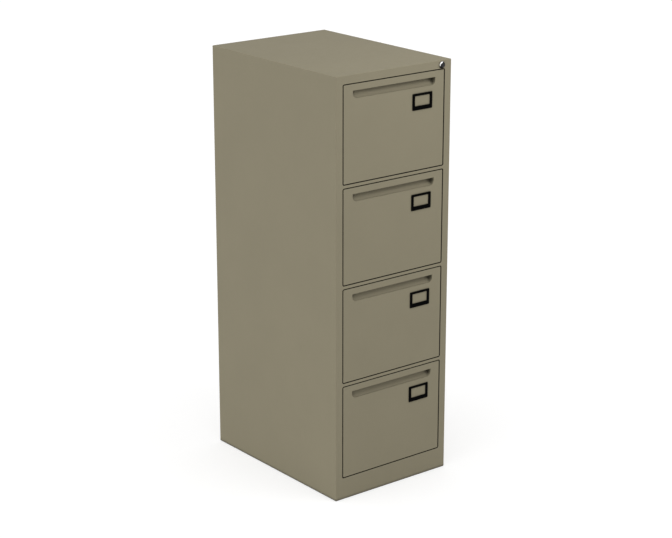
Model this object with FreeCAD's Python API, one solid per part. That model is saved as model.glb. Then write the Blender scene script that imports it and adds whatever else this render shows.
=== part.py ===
# Four-drawer steel filing cabinet with flush double-skinned drawer fronts, finger pulls and one lock.
# Millimetres. X runs to the right as seen from the front, Y to the back, Z up.
# The origin is the middle of the cabinet's footprint, on the floor.
import FreeCAD, Part
import math
import os

Vector = FreeCAD.Vector

# Smaller than this counts as nothing, and cutters reach this far past what they cut
TINY = 1e-6
OVER = 1.0
OUTWARD = (1, 0, 0)
BACKWARD = (0, 1, 0)
UPWARD = (0, 0, 1)

# Sheet steel
SHEET = 0.8
CASE_BEND = 2.0
FOLD = 0.6
SEAT = 0.3

# Drawer fronts and the gaps round them
DRAWERS = 4
FRONT_W = 383.4
FRONT_H = 294.2
FRONT_THICK = 20.0
FRONT_CORNER = 3.0
FRONT_BEND = 1.6
SIDE_GAP = 3.4
LEVEL_GAP = 2.7

# Case
STILE_W = 24.9
RAIL_H = 9.0
TOP_RAIL_H = 25.5
PLINTH_H = 69.1
FLOOR_GAP = 1.0
CASE_DEPTH = 617.0
RETURN_DEPTH = 16.0
RETURN_EDGE = 0.7
SEAM = 3.0
RIM_W = 30.0
LAP_W = 8.0
BASE_Z = 58.0
BASE_FLANGE = 12.0

# Lock in the right end of the top rail
LOCK_FROM_SIDE = 38.0
LOCK_FROM_TOP = 14.0
LOCK_PROUD = 5.0
BEZEL_R = 10.2
BEZEL_EDGE = 3.4
BARREL_R = 7.5
BARREL_BACK = 21.0
PLUG_R = 6.0
PLUG_RECESS = 0.6
PLUG_TAIL = 1.0
RUN_CLEAR = 0.05
HOLE_CLEAR = 0.1
KEYWAY_W = 1.7
KEYWAY_H = 8.0
KEYWAY_DEPTH = 14.0
NUT_FLATS = 20.0
NUT_THICK = 4.0
CAM_THICK = 1.5
CAM_ARM = 11.0
CAM_HUB_R = 6.0
CAM_TIP_R = 3.3
CAM_PIN_R = 2.0
CAM_TURN = 90.0
CAM_SCREW_R = 2.0
CAM_SCREW_HEAD_R = 3.8
CAM_SCREW_HEAD = 1.8
CAM_SCREW_DEPTH = 8.0

# Lock bar with the plates on its front, its guides, and the catches on the trays
BAR_W = 16.0
BAR_THICK = 1.5
BAR_FROM_SIDE = 5.0
PLATE_BEHIND_CAM = 2.5
PLATE_THICK = 1.5
BAR_TAIL = 10.0
HOOK_H = 8.0
HOOK_REACH = 13.0
HOOK_GAP = 2.0
SLOT_PLAY = 0.6
SLOT_WALL = 1.5
CATCH_RISE = 220.0
CATCH_H = 20.0
CATCH_REACH = 8.0
CATCH_THICK = 1.2
CATCH_LEG = 20.0
CATCH_GAP = 0.5
GUIDE_H = 14.0
GUIDE_WALL = 1.6
GUIDE_CLEAR = 0.4
GUIDE_RISE = 250.0

# Drawer tray
TRAY_W = 366.0
TRAY_DEPTH = 564.0
TRAY_LIFT = 12.0
TRAY_DROP = 14.0
TRAY_LIP = 12.0
TRAY_LIP_DROP = 8.0
TRAY_TAB = 16.0
TRAY_BEND = 1.0

# Screws that hold the tray to the front
SCREW_R = 2.4
SCREW_HEAD_R = 4.6
SCREW_HEAD = 2.6
SCREW_REACH = 7.0
SCREW_FROM_END = 45.0
RECESS_SPAN = 4.4
RECESS_W = 0.9
RECESS_DEPTH = 1.2
BOSS_R = 4.6
BOSS_LEN = 5.0
PANEL_FLANGE = 9.0

# Finger pull in each front
PULL_W = 315.0
PULL_H = 23.4
PULL_FROM_TOP = 19.4
PULL_CORNER = 15.0
PULL_DEPTH = 17.6
PULL_SCOOP = 18.0
PULL_RISE = 4.0
PULL_ROOF_R = 3.0
PULL_POCKET = 5.0
PULL_FLANGE = 6.0

# Card holder on each front
HOLDER_W = 76.4
HOLDER_H = 49.6
HOLDER_FROM_TOP = 60.7
HOLDER_FROM_SIDE = 46.8
HOLDER_SIDE_BAR = 8.8
HOLDER_TOP_BAR = 6.6
HOLDER_FOOT_BAR = 11.8
HOLDER_CORNER = 2.4
HOLDER_PROUD = 1.8
HOLDER_PLATE = 1.0
HOLDER_WALL = 1.6
PEG_W = 7.0
PEG_THICK = 1.2
PEG_REACH = 3.0

# Ball-bearing runners, measured outwards from the tray side and up and down from the runner's middle
RUNNER_THICK = 12.7
RUNNER_H = 45.0
RUNNER_SHEET = 1.2
RUNNER_LEN = 560.0
RUNNER_RISE = 150.0
RUNNER_SETBACK = 22.0
RUNNER_LIP = 2.9
MEMBER_SIDE_GAP = 0.8
BALL_R = 1.75
BALL_PLAY = 0.2
CAGE_SHEET = 0.4
CAGE_GAP = 0.2
CAGE_LEN = 280.0
BALLS_PER_ROW = 5
BALL_PITCH = 60.0
STOP_LEN = 5.0
STOP_H = 20.0
STOP_THICK = 5.5

# Uprights that carry the runners
UPRIGHT_W = 35.0
UPRIGHT_SHEET = 1.2
FRONT_UPRIGHT_SETBACK = 36.0
REAR_UPRIGHT_SETBACK = 50.0
UPRIGHT_TOP_GAP = 18.0
RIVET_R = 2.4
RIVET_HEAD_R = 4.5
RIVET_HEAD = 2.0

# Floor glides
GLIDE_R = 12.0
GLIDE_STEM_R = 4.0
GLIDE_BARB_R = 5.5
GLIDE_BARB_H = 2.2
GLIDE_FROM_SIDE = 40.0
GLIDE_FROM_END = 16.0

# Places worked out from the sizes above
OPENING_W = FRONT_W + 2 * SIDE_GAP
OPENING_H = FRONT_H + 2 * LEVEL_GAP
OPENING_CORNER = FRONT_CORNER + LEVEL_GAP
PITCH = OPENING_H + RAIL_H
CASE_W = OPENING_W + 2 * STILE_W
HALF_W = CASE_W / 2
CASE_H = FLOOR_GAP + PLINTH_H + DRAWERS * PITCH - RAIL_H + TOP_RAIL_H
FRONT_Y = (LOCK_PROUD - CASE_DEPTH) / 2
BACK_Y = FRONT_Y + CASE_DEPTH
TOP_SEAM_Z = CASE_H - SEAM
SEAM_X = HALF_W - SEAM
PANEL_Y = FRONT_Y + FRONT_THICK
TRAY_HALF = TRAY_W / 2
TRAY_END = PANEL_Y + TRAY_DEPTH
RUNNER_Y = FRONT_Y + RUNNER_SETBACK
RUNNER_X = TRAY_HALF + RUNNER_THICK
LOCK_X = HALF_W - LOCK_FROM_SIDE
LOCK_Z = CASE_H - LOCK_FROM_TOP
CAM_Y = FRONT_Y + SHEET + BARREL_BACK + PLUG_TAIL
PLATE_Y = CAM_Y + CAM_THICK + PLATE_BEHIND_CAM
BAR_Y = PLATE_Y + PLATE_THICK
BAR_X = HALF_W - BAR_FROM_SIDE - BAR_W
CAM_DROP = CAM_ARM * math.sin(math.radians(CAM_TURN / 2))
LOCK_TRAVEL = 2 * CAM_DROP
SLOT_HALF = CAM_PIN_R + SLOT_PLAY
ARM_HALF = SLOT_HALF + SLOT_WALL


def box(x0, x1, y0, y1, z0, z1):
    return Part.makeBox(x1 - x0, y1 - y0, z1 - z0, Vector(x0, y0, z0))


def rod(radius, start, direction, length):
    return Part.makeCylinder(radius, length, Vector(*start), Vector(*direction))


def fuse(shapes):
    return shapes[0].fuse(shapes[1:]).removeSplitter() if len(shapes) > 1 else shapes[0]


def mirrored(shape):
    return shape.mirror(Vector(0, 0, 0), Vector(1, 0, 0))


def in_space(plane, u, v, w):
    """A drawing point (u, v) on a plane, w along the plane's normal."""
    if plane == "xy":
        return Vector(u, v, w)
    if plane == "xz":
        return Vector(u, w, v)
    return Vector(w, u, v)


def outline_edges(plane, corners, w):
    """Edges of a closed outline whose corners are (u, v, radius)."""
    ends = []
    count = len(corners)
    for i, (u, v, radius) in enumerate(corners):
        here = Vector(u, v, 0)
        before = Vector(*corners[i - 1][:2], 0) - here
        after = Vector(*corners[(i + 1) % count][:2], 0) - here
        before.normalize()
        after.normalize()
        if radius <= 0:
            ends.append((here, None, here))
            continue
        half = before.getAngle(after) / 2
        reach = radius / math.tan(half)
        bisector = (before + after).normalize()
        centre = here + bisector * (radius / math.sin(half))
        ends.append((here + before * reach, centre - bisector * radius, here + after * reach))
    runs = []
    for i, (start, middle, end) in enumerate(ends):
        last = ends[i - 1][2]
        if last.distanceToPoint(start) > TINY:
            runs.append((last, start))
        if middle is not None:
            runs.append((start, middle, end))
    edges = []
    for points in runs:
        placed = [in_space(plane, p.x, p.y, w) for p in points]
        curve = Part.LineSegment(*placed) if len(placed) == 2 else Part.Arc(*placed)
        edges.append(curve.toShape())
    return edges


def prism(plane, corners, start, end):
    """Solid with a closed outline, from start to end along the plane's normal."""
    face = Part.Face(Part.Wire(outline_edges(plane, corners, start)))
    normal = in_space(plane, 0, 0, 1)
    solid = face.extrude(normal * (end - start))
    if solid.Volume < 0:
        solid.reverse()
    return solid


def rectangle(u0, u1, v0, v1, radius=0.0):
    return [(u0, v0, radius), (u1, v0, radius), (u1, v1, radius), (u0, v1, radius)]


def folded_sheet(plane, line, sheet, inner_radius, start, end):
    """Bent sheet: line is its right-hand face, and the sheet lies to the left of it."""
    points = [Vector(u, v, 0) for u, v in line]
    normals = []
    for a, b in zip(points, points[1:]):
        along = (b - a).normalize()
        normals.append(Vector(-along.y, along.x, 0))
    near = []
    far = []
    for i, point in enumerate(points):
        first = normals[max(i - 1, 0)]
        second = normals[min(i, len(normals) - 1)]
        shift = (first + second) * (sheet / (1 + first.dot(second)))
        turn = first.cross(second).z
        radius = 0.0 if abs(turn) < TINY else inner_radius
        near.append((point.x, point.y, radius + sheet if turn > TINY else radius))
        far.append((point.x + shift.x, point.y + shift.y, radius + sheet if turn < -TINY else radius))
    return prism(plane, near + far[::-1], start, end)


def rounded_edges_at(shape, plane_y, radius):
    """The shape with its edges in the plane y = plane_y rounded."""
    edges = [e for e in shape.Edges if all(abs(v.Y - plane_y) < TINY for v in e.Vertexes)]
    return shape.makeFillet(radius, edges)


def cross_recess(x, face_y, z):
    """Cutters for a screwdriver's cross in a head whose face looks backward."""
    cutters = []
    for half_x, half_z in ((RECESS_SPAN / 2, RECESS_W / 2), (RECESS_W / 2, RECESS_SPAN / 2)):
        sides = (x - half_x, x + half_x, face_y - RECESS_DEPTH, face_y + OVER)
        cutters.append(box(*sides, z - half_z, z + half_z))
    return cutters


def front_z(drawer):
    """Lower edge of a drawer's front; drawer 1 is at the top."""
    return FLOOR_GAP + PLINTH_H + LEVEL_GAP + (DRAWERS - drawer) * PITCH


# Case

def case_shell():
    """The painted outside of the case, open underneath within its rim."""
    size = (CASE_W, CASE_DEPTH, CASE_H - FLOOR_GAP)
    outer = Part.makeBox(*size, Vector(-HALF_W, FRONT_Y, FLOOR_GAP))
    outer = outer.makeFillet(CASE_BEND, outer.Edges)
    size = (CASE_W - 2 * SHEET, CASE_DEPTH - 2 * SHEET, CASE_H - FLOOR_GAP - 2 * SHEET)
    inner = Part.makeBox(*size, Vector(-HALF_W + SHEET, FRONT_Y + SHEET, FLOOR_GAP + SHEET))
    inner = inner.makeFillet(CASE_BEND - SHEET, inner.Edges)
    hole = box(-HALF_W + RIM_W, HALF_W - RIM_W, FRONT_Y + RIM_W, BACK_Y - RIM_W, 0, FLOOR_GAP + 2 * SHEET)
    return outer.cut([inner, hole])


def top_panel(shell):
    lid = shell.common(box(-HALF_W, HALF_W, FRONT_Y, BACK_Y, TOP_SEAM_Z, CASE_H))
    laps = []
    for x0 in (-HALF_W + SHEET, HALF_W - 2 * SHEET):
        laps.append(box(x0, x0 + SHEET, FRONT_Y + RIM_W, BACK_Y - RIM_W, TOP_SEAM_Z - LAP_W, CASE_H - SHEET))
    back = BACK_Y - SHEET
    laps.append(box(-SEAM_X + RIM_W, SEAM_X - RIM_W, back - SHEET, back, TOP_SEAM_Z - LAP_W, CASE_H - SHEET))
    return fuse([lid] + laps)


def right_side_panel(shell):
    """The wall with its bends, and the rim strip welded to its foot."""
    wall = box(SEAM_X, HALF_W, FRONT_Y, BACK_Y, FLOOR_GAP, TOP_SEAM_Z)
    rim = box(HALF_W - RIM_W, SEAM_X, FRONT_Y + RIM_W, BACK_Y - RIM_W, FLOOR_GAP, FLOOR_GAP + SHEET)
    return [shell.common(wall), rim]


def back_panel(shell):
    """The wall with its share of the rim, and a folded lap inside each upright corner."""
    wall = shell.common(box(-SEAM_X, SEAM_X, BACK_Y - RIM_W, BACK_Y, FLOOR_GAP, TOP_SEAM_Z))
    x = HALF_W - SHEET
    y = BACK_Y - SHEET
    corner = [(x, y - LAP_W), (x, y), (SEAM_X - LAP_W, y)]
    top = TOP_SEAM_Z - 2 * LAP_W
    lap = folded_sheet("xy", corner, SHEET, CASE_BEND - 2 * SHEET, BASE_Z + 2 * SHEET, top)
    return fuse([wall, lap, mirrored(lap)]).cut(glide_holes())


def opening(drawer, grow, y0, y1):
    """Solid that fills a drawer's opening in the front frame, grown all round."""
    half = OPENING_W / 2 + grow
    z0 = front_z(drawer) - LEVEL_GAP - grow
    z1 = z0 + OPENING_H + 2 * grow
    return prism("xz", rectangle(-half, half, z0, z1, OPENING_CORNER + grow), y0, y1)


def front_frame(shell):
    """Stiles, rails and plinth in one sheet, with a return round each opening."""
    face = shell.common(box(-SEAM_X, SEAM_X, FRONT_Y, FRONT_Y + RIM_W, FLOOR_GAP, TOP_SEAM_Z))
    drawers = range(1, DRAWERS + 1)
    returns = [opening(d, SHEET, FRONT_Y, FRONT_Y + RETURN_DEPTH) for d in drawers]
    holes = [opening(d, 0, FRONT_Y - OVER, FRONT_Y + RETURN_DEPTH + OVER) for d in drawers]
    frame = fuse([face] + returns).cut(holes)
    frame = rounded_opening_edges(frame)
    lock_hole = rod(BARREL_R + HOLE_CLEAR, (LOCK_X, FRONT_Y - OVER, LOCK_Z), BACKWARD, SHEET + 2 * OVER)
    return frame.cut([lock_hole] + glide_holes())


def rounded_opening_edges(frame):
    reach = OPENING_W / 2 + SHEET / 2
    low = front_z(DRAWERS) - LEVEL_GAP - SHEET / 2
    high = front_z(1) + FRONT_H + LEVEL_GAP + SHEET / 2
    edges = []
    for e in frame.Edges:
        ends = [v.Point for v in e.Vertexes]
        if all(abs(p.y - FRONT_Y) < TINY and abs(p.x) < reach and low < p.z < high for p in ends):
            edges.append(e)
    return frame.makeFillet(RETURN_EDGE, edges)


def base_panel():
    half = HALF_W - SHEET
    top = BASE_Z + SHEET
    line = [(-half, top - BASE_FLANGE), (-half, top), (half, top), (half, top - BASE_FLANGE)]
    y0 = FRONT_Y + CASE_BEND
    y1 = BACK_Y - CASE_BEND
    return folded_sheet("xz", line[::-1], SHEET, FOLD, y0, y1)


def glide_centres():
    places = []
    for x in (-HALF_W + GLIDE_FROM_SIDE, HALF_W - GLIDE_FROM_SIDE):
        for y in (FRONT_Y + GLIDE_FROM_END, BACK_Y - GLIDE_FROM_END):
            places.append((x, y))
    return places


def glide_holes():
    radius = GLIDE_STEM_R + HOLE_CLEAR
    return [rod(radius, (x, y, 0), UPWARD, FLOOR_GAP + 2 * SHEET) for x, y in glide_centres()]


def floor_glides():
    """Round pads under the rim, each with a stem through it and a barb above it."""
    glides = []
    rim_top = FLOOR_GAP + SHEET
    for x, y in glide_centres():
        pad = rod(GLIDE_R, (x, y, 0), UPWARD, FLOOR_GAP)
        stem = rod(GLIDE_STEM_R, (x, y, 0), UPWARD, rim_top)
        barb = rod(GLIDE_BARB_R, (x, y, rim_top), UPWARD, GLIDE_BARB_H)
        glides.append(fuse([pad, stem, barb]))
    return glides


# Runners

def runner_z(drawer):
    return front_z(drawer) + RUNNER_RISE


def channel(line, sheet, z, y0, y1):
    """Right-hand runner channel; line is (outwards from the tray, up from the runner's middle)."""
    placed = [(TRAY_HALF + s, z + rise) for s, rise in line]
    return folded_sheet("xz", placed, sheet, sheet / 3, y0, y1)


def both_sides(shapes):
    return shapes + [mirrored(s) for s in shapes]


OUTER_RISE = RUNNER_H / 2
OUTER_BALL_RISE = OUTER_RISE - RUNNER_SHEET - BALL_PLAY - BALL_R
MIDDLE_RISE = OUTER_BALL_RISE - BALL_R - BALL_PLAY
INNER_BALL_RISE = MIDDLE_RISE - RUNNER_SHEET - BALL_PLAY - BALL_R
INNER_RISE = INNER_BALL_RISE - BALL_R - BALL_PLAY
OUTER_MOUTH = RUNNER_THICK / 4
MIDDLE_WEB = RUNNER_THICK - RUNNER_SHEET - MEMBER_SIDE_GAP
MIDDLE_MOUTH = OUTER_MOUTH - SEAT
INNER_REACH = MIDDLE_WEB - 2 * RUNNER_SHEET - CAGE_SHEET - 2 * CAGE_GAP
LIP_RISE = OUTER_BALL_RISE - BALL_R / 2
INNER_LIP_RISE = INNER_RISE + RUNNER_SHEET
OUTER_BALL_OUT = OUTER_MOUTH + 2 * RUNNER_SHEET + BALL_R
INNER_BALL_OUT = INNER_REACH - SEAT - BALL_R


def cabinet_member(drawer):
    tip = OUTER_RISE - RUNNER_LIP
    line = [(OUTER_MOUTH, -tip), (OUTER_MOUTH, -OUTER_RISE), (RUNNER_THICK, -OUTER_RISE),
            (RUNNER_THICK, OUTER_RISE), (OUTER_MOUTH, OUTER_RISE), (OUTER_MOUTH, tip)]
    y1 = RUNNER_Y + RUNNER_LEN + SEAT + STOP_LEN
    member = channel(line, RUNNER_SHEET, runner_z(drawer), RUNNER_Y, y1)
    return member.cut(rivet_holes(drawer))


def middle_member(drawer):
    line = [(MIDDLE_MOUTH, -LIP_RISE), (MIDDLE_MOUTH, -MIDDLE_RISE), (MIDDLE_WEB, -MIDDLE_RISE),
            (MIDDLE_WEB, MIDDLE_RISE), (MIDDLE_MOUTH, MIDDLE_RISE), (MIDDLE_MOUTH, LIP_RISE)]
    return channel(line, RUNNER_SHEET, runner_z(drawer), RUNNER_Y, RUNNER_Y + RUNNER_LEN)


def drawer_member(drawer):
    line = [(INNER_REACH, INNER_LIP_RISE), (INNER_REACH, INNER_RISE), (0, INNER_RISE),
            (0, -INNER_RISE), (INNER_REACH, -INNER_RISE), (INNER_REACH, -INNER_LIP_RISE)]
    return channel(line, RUNNER_SHEET, runner_z(drawer), RUNNER_Y, RUNNER_Y + RUNNER_LEN)


def ball_cage(drawer, web, mouth, ball_out, ball_rise):
    """Cage between two members, with its balls above and below."""
    middle_y = RUNNER_Y + RUNNER_LEN / 2
    z = runner_z(drawer)
    rise = ball_rise + CAGE_SHEET / 2
    line = [(mouth, -rise), (web, -rise), (web, rise), (mouth, rise)]
    cage = channel(line, CAGE_SHEET, z, middle_y - CAGE_LEN / 2, middle_y + CAGE_LEN / 2)
    balls = []
    holes = []
    for i in range(BALLS_PER_ROW):
        y = middle_y + (i - (BALLS_PER_ROW - 1) / 2) * BALL_PITCH
        centre = (TRAY_HALF + ball_out, y, z)
        holes.append(rod(BALL_R + HOLE_CLEAR, (centre[0], y, z - RUNNER_H), UPWARD, 2 * RUNNER_H))
        for side in (-1, 1):
            balls.append(Part.makeSphere(BALL_R, Vector(centre[0], y, z + side * ball_rise)))
    return both_sides([cage.cut(holes)] + balls)


def outer_cage(drawer):
    web = RUNNER_THICK - RUNNER_SHEET - CAGE_GAP
    return ball_cage(drawer, web, OUTER_MOUTH + RUNNER_SHEET + SEAT, OUTER_BALL_OUT, OUTER_BALL_RISE)


def inner_cage(drawer):
    web = MIDDLE_WEB - RUNNER_SHEET - CAGE_GAP
    return ball_cage(drawer, web, INNER_BALL_OUT - BALL_R - 2 * SEAT, INNER_BALL_OUT, INNER_BALL_RISE)


def runner_stop(drawer):
    """Rubber block in the back end of a cabinet member, behind the middle member."""
    y1 = RUNNER_Y + RUNNER_LEN + SEAT + STOP_LEN
    x1 = RUNNER_X - RUNNER_SHEET
    z = runner_z(drawer)
    return box(x1 - STOP_THICK, x1, y1 - STOP_LEN, y1, z - STOP_H / 2, z + STOP_H / 2)


def upright_ys():
    return (FRONT_Y + FRONT_UPRIGHT_SETBACK, BACK_Y - REAR_UPRIGHT_SETBACK - UPRIGHT_W)


def rivet_ends():
    return [(y + UPRIGHT_W / 2) for y in upright_ys()]


def rivet_holes(drawer):
    x0 = RUNNER_X - 2 * RUNNER_SHEET
    length = 3 * RUNNER_SHEET + UPRIGHT_SHEET
    radius = RIVET_R + HOLE_CLEAR
    return [rod(radius, (x0, y, runner_z(drawer)), OUTWARD, length) for y in rivet_ends()]


def rivets(drawer):
    made = []
    for y in rivet_ends():
        z = runner_z(drawer)
        x0 = RUNNER_X - RUNNER_SHEET
        shank = rod(RIVET_R, (x0, y, z), OUTWARD, RUNNER_SHEET + UPRIGHT_SHEET)
        head = rod(RIVET_HEAD_R, (RUNNER_X + UPRIGHT_SHEET, y, z), OUTWARD, RIVET_HEAD)
        made.append(fuse([shank, head]))
    return made


def uprights():
    """Channels on the right side panel, open towards it."""
    made = []
    wall = HALF_W - SHEET
    holes = [h for d in range(1, DRAWERS + 1) for h in rivet_holes(d)]
    for y in upright_ys():
        line = [(wall, y + UPRIGHT_W), (RUNNER_X, y + UPRIGHT_W), (RUNNER_X, y), (wall, y)]
        post = folded_sheet("xy", line, UPRIGHT_SHEET, FOLD, BASE_Z + SHEET, CASE_H - UPRIGHT_TOP_GAP)
        made.append(post.cut(holes))
    return made


# Drawers

def front_outline(grow, z0):
    half = FRONT_W / 2 + grow
    return rectangle(-half, half, z0 - grow, z0 + FRONT_H + grow, FRONT_CORNER + grow)


def pull_outline(grow, z0, pocket=0.0):
    """Straight along the top, with large corners below; a pocket makes it taller."""
    slot_top = z0 + FRONT_H - PULL_FROM_TOP
    top = slot_top + pocket + grow
    bottom = slot_top - PULL_H - grow
    half = PULL_W / 2 + grow
    corner = PULL_CORNER + grow
    return [(-half, bottom, corner), (half, bottom, corner), (half, top, 0.0), (-half, top, 0.0)]


def pull_space(grow, z0):
    """The hand space behind the slot: a scoop below and a pocket behind the upper lip."""
    top = z0 + FRONT_H - PULL_FROM_TOP
    bottom = top - PULL_H - grow
    roof = top + PULL_POCKET + grow
    back = FRONT_Y + PULL_DEPTH + grow
    mouth = FRONT_Y + SHEET
    scoop = [(mouth, bottom, 0.0), (back, bottom + PULL_RISE, PULL_SCOOP + grow),
             (back, roof, PULL_ROOF_R + grow), (mouth, roof, 0.0)]
    half = PULL_W / 2 + grow
    swept = prism("yz", scoop, -half, half)
    return swept.common(prism("xz", pull_outline(grow, z0, PULL_POCKET), mouth, back))


def handle_cup(z0):
    """Pressed cup behind the slot, with a flange against the front's inner face."""
    cup = pull_space(SHEET, z0)
    y0 = FRONT_Y + SHEET
    flange = prism("xz", pull_outline(PULL_FLANGE, z0, PULL_POCKET), y0, y0 + SHEET)
    mouth = prism("xz", pull_outline(0, z0), y0 - OVER, y0 + 2 * SHEET)
    return fuse([cup, flange]).cut([pull_space(0, z0), mouth])


def holder_place(z0):
    x1 = FRONT_W / 2 - HOLDER_FROM_SIDE
    z1 = z0 + FRONT_H - HOLDER_FROM_TOP
    return x1 - HOLDER_W, x1, z1 - HOLDER_H, z1


def pegs(z0, grow):
    x0, x1, low, high = holder_place(z0)
    made = []
    for x in (x0 + HOLDER_SIDE_BAR / 2, x1 - HOLDER_SIDE_BAR / 2):
        z = (low + high) / 2
        made.append(box(x - PEG_THICK / 2 - grow, x + PEG_THICK / 2 + grow, FRONT_Y - grow,
                        FRONT_Y + SHEET + PEG_REACH, z - PEG_W / 2 - grow, z + PEG_W / 2 + grow))
    return made


def card_holder(z0):
    """Frame that stands off the front, open at the top for a card, on two pegs."""
    x0, x1, low, high = holder_place(z0)
    face = FRONT_Y - HOLDER_PROUD
    plate = prism("xz", rectangle(x0, x1, low, high, HOLDER_CORNER), face, face + HOLDER_PLATE)
    edge = prism("xz", rectangle(x0, x1, low, high, HOLDER_CORNER), face, FRONT_Y)
    hollow = box(x0 + HOLDER_WALL, x1 - HOLDER_WALL, face + HOLDER_PLATE, FRONT_Y, low + HOLDER_WALL,
                 high + OVER)
    window = prism("xz", rectangle(x0 + HOLDER_SIDE_BAR, x1 - HOLDER_SIDE_BAR, low + HOLDER_FOOT_BAR,
                                   high - HOLDER_TOP_BAR, HOLDER_CORNER / 3), face - OVER, FRONT_Y)
    posts = []
    for peg in pegs(z0, 0):
        b = peg.BoundBox
        posts.append(box(b.XMin, b.XMax, face + HOLDER_PLATE, FRONT_Y, b.ZMin, b.ZMax))
    return fuse([plate, edge.cut(hollow)]).cut(window).fuse(posts + pegs(z0, 0)).removeSplitter()


def drawer_front(z0):
    """Outer skin of a drawer front: a pan with the slot for the hand and two for the card holder's pegs."""
    outer = prism("xz", front_outline(0, z0), FRONT_Y, PANEL_Y)
    outer = rounded_edges_at(outer, FRONT_Y, FRONT_BEND)
    inner = prism("xz", front_outline(-SHEET, z0), FRONT_Y + SHEET, PANEL_Y + OVER)
    inner = rounded_edges_at(inner, FRONT_Y + SHEET, FRONT_BEND - SHEET)
    slot = prism("xz", pull_outline(0, z0), FRONT_Y - OVER, FRONT_Y + SHEET + OVER)
    skin = outer.cut([inner, slot])
    return skin.cut(pegs(z0, HOLE_CLEAR))


def screw_places(z0):
    """Middle of each screw, in x and z."""
    low = z0 + TRAY_LIFT + SCREW_FROM_END
    high = z0 + FRONT_H - TRAY_DROP - SCREW_FROM_END
    x = TRAY_HALF - SHEET - TRAY_TAB / 2
    return [(side * x, z) for side in (-1, 1) for z in (low, high)]


def screw_holes(z0, y0, y1):
    return [rod(SCREW_R + HOLE_CLEAR, (x, y0, z), BACKWARD, y1 - y0) for x, z in screw_places(z0)]


def inner_panel(z0):
    """Sheet that closes the back of the front, with a flange all round and a boss at each screw."""
    plate_y = PANEL_Y - SHEET
    outer = prism("xz", front_outline(-SHEET, z0), PANEL_Y - PANEL_FLANGE, PANEL_Y)
    inner = prism("xz", front_outline(-2 * SHEET, z0), PANEL_Y - PANEL_FLANGE - OVER, plate_y)
    bosses = [rod(BOSS_R, (x, plate_y - BOSS_LEN, z), BACKWARD, BOSS_LEN) for x, z in screw_places(z0)]
    return fuse([outer.cut(inner)] + bosses).cut(screw_holes(z0, PANEL_Y - FRONT_THICK / 2, PANEL_Y + OVER))


def drawer_screws(z0):
    made = []
    head_y = PANEL_Y + SHEET
    for x, z in screw_places(z0):
        shank = rod(SCREW_R, (x, head_y - SCREW_REACH, z), BACKWARD, SCREW_REACH)
        head = rod(SCREW_HEAD_R, (x, head_y, z), BACKWARD, SCREW_HEAD)
        head = rounded_edges_at(head, head_y + SCREW_HEAD, SCREW_HEAD / 3)
        made.append(fuse([shank, head]).cut(cross_recess(x, head_y + SCREW_HEAD, z)))
    return made


def tray(z0):
    """Folded tray with a hanging rail along each top edge, front tabs and a back."""
    low = z0 + TRAY_LIFT
    high = z0 + FRONT_H - TRAY_DROP
    rail = TRAY_HALF - TRAY_LIP
    tip = high - TRAY_LIP_DROP
    line = [(-rail, tip), (-rail, high), (-TRAY_HALF, high), (-TRAY_HALF, low),
            (TRAY_HALF, low), (TRAY_HALF, high), (rail, high), (rail, tip)]
    body = folded_sheet("xz", line, SHEET, TRAY_BEND, PANEL_Y, TRAY_END)
    wall = TRAY_HALF - SHEET / 2
    floor = low + SHEET / 2
    outline = rectangle(-wall, wall, floor, high - SHEET / 2, TRAY_BEND)
    back = prism("xz", outline, TRAY_END - SHEET, TRAY_END)
    shapes = [body, back]
    for side in (-1, 1):
        xs = sorted((side * wall, side * (wall - TRAY_TAB)))
        outline = rectangle(*xs, floor, high - SHEET / 2, TRAY_BEND)
        shapes.append(prism("xz", outline, PANEL_Y, PANEL_Y + SHEET))
    return fuse(shapes).cut(screw_holes(z0, PANEL_Y - OVER, PANEL_Y + 2 * SHEET))


def catch(z0):
    """Angle welded to the tray's right side, which stands behind the lock bar's hook."""
    z = z0 + CATCH_RISE
    x = TRAY_HALF
    y = BAR_Y + CATCH_GAP
    stop = box(x, x + CATCH_REACH, y, y + CATCH_THICK, z, z + CATCH_H)
    leg = box(x, x + CATCH_THICK, y, y + CATCH_LEG, z, z + CATCH_H)
    return fuse([stop, leg])


# Lock

def lock_housing():
    """Round bezel in front of the rail and a barrel behind it, bored for the cylinder."""
    length = LOCK_PROUD + SHEET + BARREL_BACK
    bezel = rod(BEZEL_R, (LOCK_X, FRONT_Y - LOCK_PROUD, LOCK_Z), BACKWARD, LOCK_PROUD)
    bezel = rounded_edges_at(bezel, FRONT_Y - LOCK_PROUD, BEZEL_EDGE)
    barrel = rod(BARREL_R, (LOCK_X, FRONT_Y, LOCK_Z), BACKWARD, SHEET + BARREL_BACK)
    bore = rod(PLUG_R + RUN_CLEAR, (LOCK_X, FRONT_Y - LOCK_PROUD - OVER, LOCK_Z), BACKWARD,
               length + 2 * OVER)
    return fuse([bezel, barrel]).cut(bore)


def lock_nut():
    """Hexagon nut on the barrel, behind the rail, with a flat below."""
    y = FRONT_Y + SHEET
    radius = NUT_FLATS / 2 / math.cos(math.pi / 6)
    corners = []
    for i in range(6):
        angle = math.radians(60 * i)
        corners.append((LOCK_X + radius * math.cos(angle), LOCK_Z + radius * math.sin(angle), 0.0))
    nut = prism("xz", corners, y, y + NUT_THICK)
    return nut.cut(rod(BARREL_R + RUN_CLEAR, (LOCK_X, y - OVER, LOCK_Z), BACKWARD, NUT_THICK + 2 * OVER))


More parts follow.
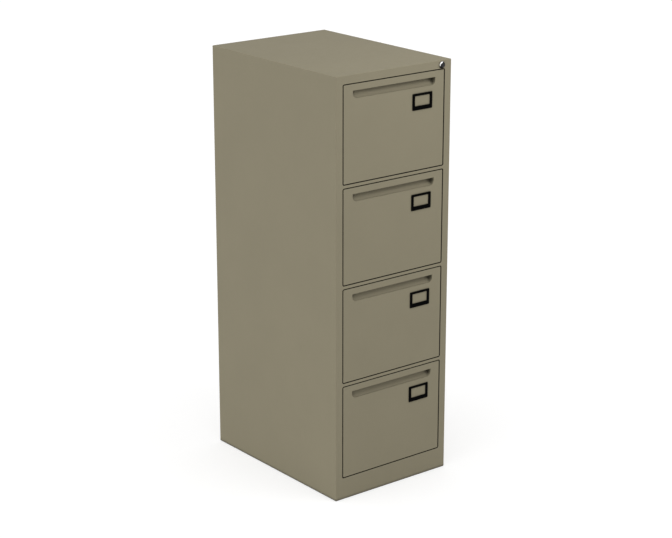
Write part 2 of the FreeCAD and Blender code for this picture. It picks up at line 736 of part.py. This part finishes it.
def lock_cylinder():
    y0 = FRONT_Y - LOCK_PROUD + PLUG_RECESS
    plug = rod(PLUG_R, (LOCK_X, y0, LOCK_Z), BACKWARD, CAM_Y - y0)
    keyway = box(LOCK_X - KEYWAY_W / 2, LOCK_X + KEYWAY_W / 2, y0 - OVER, y0 + KEYWAY_DEPTH,
                 LOCK_Z - KEYWAY_H / 2, LOCK_Z + KEYWAY_H / 2)
    thread = rod(CAM_SCREW_R + RUN_CLEAR, (LOCK_X, CAM_Y - CAM_SCREW_DEPTH, LOCK_Z), BACKWARD,
                 CAM_SCREW_DEPTH + OVER)
    return plug.cut([keyway, thread])


def cam_pin_place():
    """Where the pin stands when the lock is open."""
    angle = math.radians(-CAM_TURN / 2)
    return LOCK_X + CAM_ARM * math.cos(angle), LOCK_Z + CAM_ARM * math.sin(angle)


def lock_cam():
    """Arm on the cylinder's tail, with a pin that lifts the lock bar."""
    px, pz = cam_pin_place()
    y = CAM_Y
    hub = rod(CAM_HUB_R, (LOCK_X, y, LOCK_Z), BACKWARD, CAM_THICK)
    tip = rod(CAM_TIP_R, (px, y, pz), BACKWARD, CAM_THICK)
    arm = box(0, CAM_ARM, 0, CAM_THICK, -CAM_TIP_R, CAM_TIP_R)
    arm.rotate(Vector(0, 0, 0), Vector(0, -1, 0), -CAM_TURN / 2)
    arm.translate(Vector(LOCK_X, y, LOCK_Z))
    pin = rod(CAM_PIN_R, (px, y, pz), BACKWARD, BAR_Y + OVER - y)
    hole = rod(CAM_SCREW_R + RUN_CLEAR, (LOCK_X, y - OVER, LOCK_Z), BACKWARD, CAM_THICK + 2 * OVER)
    return fuse([hub, tip, arm, pin]).cut(hole)


def lock_cam_screw():
    y = CAM_Y + CAM_THICK
    reach = CAM_THICK + CAM_SCREW_DEPTH - OVER
    shank = rod(CAM_SCREW_R, (LOCK_X, y - reach, LOCK_Z), BACKWARD, reach)
    head = rod(CAM_SCREW_HEAD_R, (LOCK_X, y, LOCK_Z), BACKWARD, CAM_SCREW_HEAD)
    return fuse([shank, head]).cut(cross_recess(LOCK_X, y + CAM_SCREW_HEAD, LOCK_Z))


def hook_z(drawer):
    """Lower edge of a drawer's hook when the lock is open."""
    return front_z(drawer) + CATCH_RISE - HOOK_GAP - HOOK_H


def lock_bar():
    """Flat bar behind the right stile."""
    low = hook_z(DRAWERS) - BAR_TAIL
    high = cam_pin_place()[1] + ARM_HALF
    return box(BAR_X, BAR_X + BAR_W, BAR_Y, BAR_Y + BAR_THICK, low, high)


def lock_bar_arm():
    """Plate across the top of the bar, with a slot for the cam's pin."""
    px, pz = cam_pin_place()
    right = LOCK_X + CAM_ARM
    plate = box(px - ARM_HALF, BAR_X + BAR_W, PLATE_Y, BAR_Y, pz - ARM_HALF, pz + ARM_HALF)
    ends = [rod(SLOT_HALF, (x, PLATE_Y - OVER, pz), BACKWARD, PLATE_THICK + 2 * OVER) for x in (px, right)]
    slot = box(px, right, PLATE_Y - OVER, BAR_Y + OVER, pz - SLOT_HALF, pz + SLOT_HALF)
    return plate.cut(ends + [slot])


def lock_bar_hooks():
    """Plates across the front of the bar that reach in front of the catches, one for each drawer."""
    made = []
    for drawer in range(1, DRAWERS + 1):
        z = hook_z(drawer)
        made.append(box(BAR_X - HOOK_REACH, BAR_X + BAR_W, PLATE_Y, BAR_Y, z, z + HOOK_H))
    return made


def lock_bar_guides():
    """Blocks on the front upright that the lock bar slides through."""
    made = []
    y1 = upright_ys()[0]
    for drawer in range(1, DRAWERS + 1):
        z = front_z(drawer) + GUIDE_RISE
        block = box(BAR_X - GUIDE_WALL, BAR_X + BAR_W + GUIDE_WALL, BAR_Y - GUIDE_CLEAR - GUIDE_WALL, y1,
                    z, z + GUIDE_H)
        way = box(BAR_X - GUIDE_CLEAR, BAR_X + BAR_W + GUIDE_CLEAR, BAR_Y - GUIDE_CLEAR,
                  BAR_Y + BAR_THICK + GUIDE_CLEAR, z - OVER, z + GUIDE_H + OVER)
        made.append(block.cut(way))
    return made


def case_parts():
    shell = case_shell()
    right = right_side_panel(shell)
    drawers = range(1, DRAWERS + 1)
    return {
        "front_frame": [front_frame(shell)],
        "left_side_panel": [mirrored(solid) for solid in right],
        "right_side_panel": right,
        "top_panel": [top_panel(shell)],
        "back_panel": [back_panel(shell)],
        "base_panel": [base_panel()],
        "floor_glides": floor_glides(),
        "runner_uprights": both_sides(uprights()),
        "cabinet_runners": both_sides([cabinet_member(d) for d in drawers]),
        "runner_rivets": both_sides([r for d in drawers for r in rivets(d)]),
        "runner_stops": both_sides([runner_stop(d) for d in drawers]),
    }


def lock_parts():
    return {
        "lock_housing": [lock_housing()],
        "lock_nut": [lock_nut()],
        "lock_cylinder": [lock_cylinder()],
        "lock_cam": [lock_cam()],
        "lock_cam_screw": [lock_cam_screw()],
        "lock_bar": [lock_bar()],
        "lock_bar_arm": [lock_bar_arm()],
        "lock_bar_hooks": lock_bar_hooks(),
        "lock_bar_guides": lock_bar_guides(),
    }


def drawer_parts(drawer):
    z0 = front_z(drawer)
    name = "drawer_%d_" % drawer
    return {
        name + "front": [drawer_front(z0)],
        name + "handle_cup": [handle_cup(z0)],
        name + "inner_panel": [inner_panel(z0)],
        name + "card_holder": [card_holder(z0)],
        name + "tray": [tray(z0), catch(z0)],
        name + "screws": drawer_screws(z0),
        name + "runners": both_sides([drawer_member(drawer)]),
        name + "middle_runners": both_sides([middle_member(drawer)]),
        name + "outer_ball_cages": outer_cage(drawer),
        name + "inner_ball_cages": inner_cage(drawer),
    }


def main():
    os.makedirs("parts", exist_ok=True)
    parts = case_parts()
    parts.update(lock_parts())
    for drawer in range(1, DRAWERS + 1):
        parts.update(drawer_parts(drawer))
    for name, solids in parts.items():
        shape = solids[0] if len(solids) == 1 else Part.makeCompound(solids)
        shape.exportStep("parts/%s.step" % name)
        print(name, len(shape.Solids), round(shape.Volume), shape.isValid())
    print("lock travel", round(LOCK_TRAVEL, 3), "lock axis", LOCK_X, LOCK_Z, "case", CASE_W, CASE_H)


main()
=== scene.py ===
# Looks of a four-drawer steel filing cabinet with finger pulls, card holders and one lock.
# Metres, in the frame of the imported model: X to the right as seen from the front, Y to the back, Z up.
import bpy
import math
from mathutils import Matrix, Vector

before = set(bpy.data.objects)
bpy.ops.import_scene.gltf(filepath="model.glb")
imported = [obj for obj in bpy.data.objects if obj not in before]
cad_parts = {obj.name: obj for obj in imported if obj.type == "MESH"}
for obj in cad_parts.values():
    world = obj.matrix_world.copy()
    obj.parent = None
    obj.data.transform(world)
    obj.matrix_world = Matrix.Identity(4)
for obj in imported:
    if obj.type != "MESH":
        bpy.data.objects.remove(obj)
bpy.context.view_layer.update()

WHITE = (1.0, 1.0, 1.0, 1.0)

# Camera, where it fits the photograph best without a shift: metres, degrees and pixels
CAMERA_PLACE = (-3.4714, -4.4175, 2.4075)
CAMERA_YAW = 38.34
CAMERA_PITCH = 17.568
FOCAL_PIXELS = 1869.7
IMAGE_WIDTH = 672
SENSOR_MM = 36.0
VIEW_END = 200.0

# Floor: half its side in metres, how pale it is for the light it sends up, and how pale and
# glowing it is to the eye
FLOOR_HALF = 40.0
FLOOR_BOUNCE = 0.74
FLOOR_SEEN = 0.5
FLOOR_GLOW = 0.575

# Daylight: an even dome, and more from one side, as that side's direction times the strength
DOME = 0.75
SIDE_LIGHT = (-0.86, 0.0, 0.0)

# Softboxes: place, the point that each is aimed at, width and height in metres, and watts
SOFTBOXES = {
    "upper_softbox": ((0.4, -1.5, 2.6), (0.0, -0.3, 1.2), (1.2, 0.6), 6.0),
    "front_softbox": ((0.5, -1.5, 2.1), (0.0, -0.3, 1.3), (1.0, 0.5), 4.5),
}

# Colours, as linear light
PAINT = (0.239, 0.215, 0.149)
HOLDER_BLACK = (0.0006, 0.0006, 0.0006)
GLIDE_BLACK = (0.016, 0.016, 0.017)
GUIDE_WHITE = (0.62, 0.60, 0.54)
RUBBER = (0.022, 0.021, 0.020)
ZINC = (0.50, 0.51, 0.53)
STEEL = (0.50, 0.50, 0.50)
CHROME = (0.98, 0.98, 0.98)
LOCK_STEEL = (0.046, 0.046, 0.049)

# Painted shade, multiplied into the base colour, in narrow seams, in the finger pulls and on plated parts
# inside the case: reach in metres, the share of open sky at which the surface is darkest and fully light,
# and the darkest shade
SEAM = (0.012, 0.36, 0.96, 0.03)
PULL_SHADE = (0.022, 0.41, 0.73, 0.22)
INSIDE = (0.03, 0.35, 0.8, 0.08)
SHADE_SAMPLES = 8

# Rolled grain of plated steel: how far the noise is squeezed along each axis
GRAIN_ALONG_Y = (1.0, 0.04, 1.0)
GRAIN_ALONG_Z = (1.0, 1.0, 0.04)

# Chrome's painted reflection in its base colour: the direction that it is painted bright towards, and
# (cosine, level) pairs from facing away
CHROME_PAINTED_SKY = (-0.7, 0.0, 0.7)
CHROME_PAINTED_REFLECTION_LEVELS = ((-0.45, 0.004), (0.1, 0.01), (0.34, 0.08), (0.5, 1.0))


class Material:
    """A node material: a Principled shader and short ways to add the nodes before it."""

    def __init__(self, name):
        self.made = bpy.data.materials.new(name)
        self.made.use_nodes = True
        self.tree = self.made.node_tree
        self.shader = self.tree.nodes["Principled BSDF"]
        places = self.tree.nodes.new("ShaderNodeTexCoord")
        self.coords = places.outputs["Object"]
        self.facing_way = places.outputs["Normal"]
        self.bump = None

    def node(self, kind, **settings):
        made = self.tree.nodes.new(kind)
        for key, value in settings.items():
            setattr(made, key, value)
        return made

    def link(self, output, socket):
        self.tree.links.new(output, socket)

    def set(self, **values):
        """Values on the shader's own sockets, with _ for a space in their names."""
        for key, value in values.items():
            self.shader.inputs[key.replace("_", " ")].default_value = value

    def stretched(self, stretch):
        """Coordinates multiplied by stretch, for a grain that runs one way."""
        mapping = self.node("ShaderNodeMapping")
        mapping.inputs["Scale"].default_value = stretch
        self.link(self.coords, mapping.inputs["Vector"])
        return mapping.outputs["Vector"]

    def noise(self, scale, detail=2.0, roughness=0.5, coords=None):
        noise = self.node("ShaderNodeTexNoise")
        noise.inputs["Scale"].default_value = scale
        noise.inputs["Detail"].default_value = detail
        noise.inputs["Roughness"].default_value = roughness
        self.link(coords or self.coords, noise.inputs["Vector"])
        return noise.outputs["Fac"]

    def ranged(self, value, low, high, start=0.3, end=0.7):
        """low to high, as value goes from start to end."""
        ranged = self.node("ShaderNodeMapRange")
        for key, number in (("From Min", start), ("From Max", end), ("To Min", low), ("To Max", high)):
            ranged.inputs[key].default_value = number
        self.link(value, ranged.inputs["Value"])
        return ranged.outputs["Result"]

    def seam_shade(self, reach, dark, open_sky, least):
        """Painted shade for the base colour: 1 on open faces, down to least where faces closer than reach
        shut the light out.
        """
        seam = self.node("ShaderNodeAmbientOcclusion", samples=SHADE_SAMPLES)
        seam.inputs["Distance"].default_value = reach
        return self.ranged(seam.outputs["AO"], low=least, high=1.0, start=dark, end=open_sky)

    def facing(self, direction, levels):
        """Painted reflection: level by the cosine of the piece's own surface to a direction, (cosine,
        level) pairs, rising.
        """
        cosine = self.node("ShaderNodeVectorMath", operation="DOT_PRODUCT")
        cosine.inputs[1].default_value = Vector(direction).normalized()
        self.link(self.facing_way, cosine.inputs[0])
        ramp = self.node("ShaderNodeValToRGB")
        stops = ramp.color_ramp.elements
        while len(stops) < len(levels):
            stops.new(1.0)
        for stop, (at, level) in zip(stops, levels):
            stop.position = (at + 1.0) / 2.0
            stop.color = grey(level)
        place = self.ranged(cosine.outputs["Value"], low=0.0, high=1.0, start=-1.0, end=1.0)
        self.link(place, ramp.inputs["Fac"])
        return ramp.outputs["Color"]

    def product(self, first, second):
        product = self.node("ShaderNodeMath", operation="MULTIPLY")
        self.link(first, product.inputs[0])
        self.link(second, product.inputs[1])
        return product.outputs["Value"]

    def tinted(self, colour, shades):
        """Base colour: colour times the product of the shades."""
        shade = shades[0]
        for other in shades[1:]:
            shade = self.product(shade, other)
        scaled = self.node("ShaderNodeVectorMath", operation="SCALE")
        scaled.inputs[0].default_value = colour
        self.link(shade, scaled.inputs["Scale"])
        self.link(scaled.outputs["Vector"], self.shader.inputs["Base Color"])

    def roughened(self, value):
        self.link(value, self.shader.inputs["Roughness"])

    def bumped(self, height, depth, strength):
        """Adds a bump, its depth in metres, on top of those before it."""
        bump = self.node("ShaderNodeBump")
        bump.inputs["Distance"].default_value = depth
        bump.inputs["Strength"].default_value = strength
        self.link(height, bump.inputs["Height"])
        if self.bump:
            self.link(self.bump, bump.inputs["Normal"])
        self.bump = bump.outputs["Normal"]
        self.link(self.bump, self.shader.inputs["Normal"])


def powder_coat(name, shade):
    """Matt powder coat: even colour, faint cloudiness, orange peel and a fine grain."""
    paint = Material(name)
    clouds = paint.ranged(paint.noise(scale=7.0, detail=3.0), low=0.985, high=1.015)
    specks = paint.ranged(paint.noise(scale=2300.0), low=0.975, high=1.025)
    # The base colour includes painted shade in seams and gaps.
    paint.tinted(PAINT, [clouds, specks, paint.seam_shade(*shade)])
    paint.set(Specular_IOR_Level=0.12)
    paint.roughened(paint.ranged(paint.noise(scale=60.0, detail=4.0), low=0.73, high=0.81))
    paint.bumped(paint.noise(scale=420.0, detail=1.5), depth=0.00006, strength=0.35)
    paint.bumped(paint.noise(scale=1900.0), depth=0.00003, strength=0.3)
    return paint.made


def moulded_plastic(name, colour, roughness, gloss=0.5):
    """Moulded plastic with a fine spark-eroded grain and slight flow marks."""
    plastic = Material(name)
    plastic.tinted(colour, [plastic.ranged(plastic.noise(scale=45.0, detail=3.0), low=0.9, high=1.12)])
    plastic.set(Specular_IOR_Level=gloss)
    patches = plastic.noise(scale=240.0, detail=3.0)
    plastic.roughened(plastic.ranged(patches, low=roughness - 0.06, high=roughness + 0.06))
    plastic.bumped(plastic.noise(scale=3200.0), depth=0.00004, strength=0.4)
    return plastic.made


def dull_rubber(name):
    """Dull black rubber with dusty patches."""
    rubber = Material(name)
    rubber.tinted(RUBBER, [rubber.ranged(rubber.noise(scale=180.0, detail=4.0), low=0.85, high=1.6)])
    rubber.roughened(rubber.ranged(rubber.noise(scale=300.0), low=0.74, high=0.9))
    rubber.bumped(rubber.noise(scale=1500.0, detail=3.0), depth=0.00008, strength=0.5)
    return rubber.made


def plated_steel(name, colour, roughness, stretch, spangle, shade=None):
    """Steel with a rolled grain and a cloudy plating; with a shade, painted shade where it is shut in."""
    metal = Material(name)
    grain = metal.noise(scale=900.0, detail=3.0, coords=metal.stretched(stretch))
    clouds = metal.ranged(metal.noise(scale=28.0, detail=4.0), low=1.0 - spangle, high=1.0 + spangle)
    shades = [clouds, metal.ranged(grain, low=0.94, high=1.05)]
    # Painted shade in the base colour where the part is shut in.
    if shade:
        shades.append(metal.seam_shade(*shade))
    metal.tinted(colour, shades)
    metal.set(Metallic=1.0)
    metal.roughened(metal.ranged(grain, low=roughness - 0.05, high=roughness + 0.07))
    metal.bumped(grain, depth=0.00002, strength=0.25)
    return metal.made


def polished_metal(name, colour, roughness, sky=None, levels=()):
    """Polished metal with faint handling marks; with a sky, a painted reflection in its colour, bright
    towards that direction and dark where it faces away from that.
    """
    metal = Material(name)
    marks = metal.noise(scale=500.0, detail=4.0, roughness=0.6)
    shades = [metal.ranged(marks, low=0.95, high=1.05)]
    # Painted reflection: base colour bright facing the sky direction, near black facing away.
    if sky:
        shades.append(metal.facing(sky, levels))
    metal.tinted(colour, shades)
    metal.set(Metallic=1.0)
    metal.roughened(metal.ranged(marks, low=roughness * 0.7, high=roughness * 1.5))
    metal.bumped(metal.noise(scale=2600.0), depth=0.000006, strength=0.2)
    return metal.made


def finishes():
    """The material of each slot in the record."""
    return {
        "case_paint": powder_coat("case_paint_finish", SEAM),
        "drawer_paint": powder_coat("drawer_paint_finish", SEAM),
        "holder_black": moulded_plastic("holder_black_finish", HOLDER_BLACK, roughness=0.8, gloss=0.03),
        "black_plastic": moulded_plastic("black_plastic_finish", GLIDE_BLACK, roughness=0.5),
        "guide_plastic": moulded_plastic("guide_plastic_finish", GUIDE_WHITE, roughness=0.45),
        "stop_rubber": dull_rubber("stop_rubber_finish"),
        "zinc_plate": plated_steel("zinc_plate_finish", ZINC, roughness=0.32, stretch=GRAIN_ALONG_Y,
                                   spangle=0.05, shade=INSIDE),
        "ball_steel": polished_metal("ball_steel_finish", STEEL, roughness=0.18),
        "lock_chrome": polished_metal("lock_chrome_finish", CHROME, roughness=0.12,
                                      sky=CHROME_PAINTED_SKY, levels=CHROME_PAINTED_REFLECTION_LEVELS),
        "lock_steel": plated_steel("lock_steel_finish", LOCK_STEEL, roughness=0.36,
                                   stretch=GRAIN_ALONG_Z, spangle=0.04),
    }


def dress_nodes():
    """Gives each node the finish of its slot, and the cups of the finger pulls a deeper painted shade."""
    by_slot = finishes()
    # Pull cups: powder coat with deeper painted shade in the base colour.
    cup_finish = powder_coat("pull_cup_finish", PULL_SHADE)
    for name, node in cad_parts.items():
        is_cup = name.endswith("handle_cup")
        for place in node.material_slots:
            place.material = cup_finish if is_cup else by_slot[place.material.name]


def seen_ray(tree):
    """1 for camera, glossy and transmission rays, 0 for the rest."""
    path = tree.nodes.new("ShaderNodeLightPath")
    value = path.outputs["Is Camera Ray"]
    for name in ("Is Glossy Ray", "Is Transmission Ray"):
        larger = tree.nodes.new("ShaderNodeMath")
        larger.operation = "MAXIMUM"
        tree.links.new(value, larger.inputs[0])
        tree.links.new(path.outputs[name], larger.inputs[1])
        value = larger.outputs["Value"]
    return value


def grey(level):
    return (level, level, level, 1.0)


def make_floor():
    """A plain pale floor that looks white and keeps the shadow."""
    mesh = bpy.data.meshes.new("floor")
    corners = [(x * FLOOR_HALF, y * FLOOR_HALF, 0.0) for x, y in ((-1, -1), (1, -1), (1, 1), (-1, 1))]
    mesh.from_pydata(corners, [], [(0, 1, 2, 3)])
    floor = bpy.data.objects.new("floor", mesh)
    bpy.context.scene.collection.objects.link(floor)
    made = bpy.data.materials.new("floor_finish")
    made.use_nodes = True
    tree = made.node_tree
    tree.nodes.clear()
    bounce = tree.nodes.new("ShaderNodeBsdfDiffuse")
    bounce.inputs["Color"].default_value = grey(FLOOR_BOUNCE)
    seen = tree.nodes.new("ShaderNodeBsdfDiffuse")
    seen.inputs["Color"].default_value = grey(FLOOR_SEEN)
    glow = tree.nodes.new("ShaderNodeEmission")
    glow.inputs["Strength"].default_value = FLOOR_GLOW
    both = tree.nodes.new("ShaderNodeAddShader")
    mix = tree.nodes.new("ShaderNodeMixShader")
    out = tree.nodes.new("ShaderNodeOutputMaterial")
    tree.links.new(seen.outputs["BSDF"], both.inputs[0])
    tree.links.new(glow.outputs["Emission"], both.inputs[1])
    tree.links.new(seen_ray(tree), mix.inputs["Fac"])
    tree.links.new(bounce.outputs["BSDF"], mix.inputs[1])
    tree.links.new(both.outputs["Shader"], mix.inputs[2])
    tree.links.new(mix.outputs["Shader"], out.inputs["Surface"])
    mesh.materials.append(made)


def daylight(tree):
    """Strength of the daylight by its direction."""
    side = tree.nodes.new("ShaderNodeVectorMath")
    side.operation = "DOT_PRODUCT"
    side.inputs[1].default_value = SIDE_LIGHT
    tree.links.new(tree.nodes.new("ShaderNodeTexCoord").outputs["Generated"], side.inputs[0])
    value = side.outputs["Value"]
    for operation, number in (("MAXIMUM", 0.0), ("ADD", DOME)):
        step = tree.nodes.new("ShaderNodeMath")
        step.operation = operation
        step.inputs[1].default_value = number
        tree.links.new(value, step.inputs[0])
        value = step.outputs["Value"]
    return value


def make_world():
    """Soft daylight, white to the eye."""
    world = bpy.data.worlds.new("studio")
    bpy.context.scene.world = world
    world.use_nodes = True
    tree = world.node_tree
    tree.nodes.clear()
    dome = tree.nodes.new("ShaderNodeBackground")
    white = tree.nodes.new("ShaderNodeBackground")
    mix = tree.nodes.new("ShaderNodeMixShader")
    out = tree.nodes.new("ShaderNodeOutputWorld")
    dome.inputs["Color"].default_value = WHITE
    white.inputs["Color"].default_value = WHITE
    tree.links.new(daylight(tree), dome.inputs["Strength"])
    tree.links.new(seen_ray(tree), mix.inputs["Fac"])
    tree.links.new(dome.outputs["Background"], mix.inputs[1])
    tree.links.new(white.outputs["Background"], mix.inputs[2])
    tree.links.new(mix.outputs["Shader"], out.inputs["Surface"])


def softbox(name, place, target, size, watts):
    """A rectangular lamp that the camera doesn't see."""
    light = bpy.data.lights.new(name, "AREA")
    light.shape = "RECTANGLE"
    light.size, light.size_y = size
    light.energy = watts
    made = bpy.data.objects.new(name, light)
    bpy.context.scene.collection.objects.link(made)
    made.location = place
    made.rotation_euler = (Vector(target) - Vector(place)).to_track_quat("-Z", "Y").to_euler()
    made.visible_camera = False


def make_camera():
    camera = bpy.data.cameras.new("camera")
    camera.sensor_width = SENSOR_MM
    camera.lens = FOCAL_PIXELS * SENSOR_MM / IMAGE_WIDTH
    camera.clip_end = VIEW_END
    made = bpy.data.objects.new("camera", camera)
    bpy.context.scene.collection.objects.link(made)
    made.location = CAMERA_PLACE
    made.rotation_euler = (math.radians(90.0 - CAMERA_PITCH), 0.0, math.radians(-CAMERA_YAW))
    bpy.context.scene.camera = made


dress_nodes()
make_floor()
make_world()
for box_name, settings in SOFTBOXES.items():
    softbox(box_name, *settings)
make_camera()
bpy.context.scene.view_settings.view_transform = "Standard"
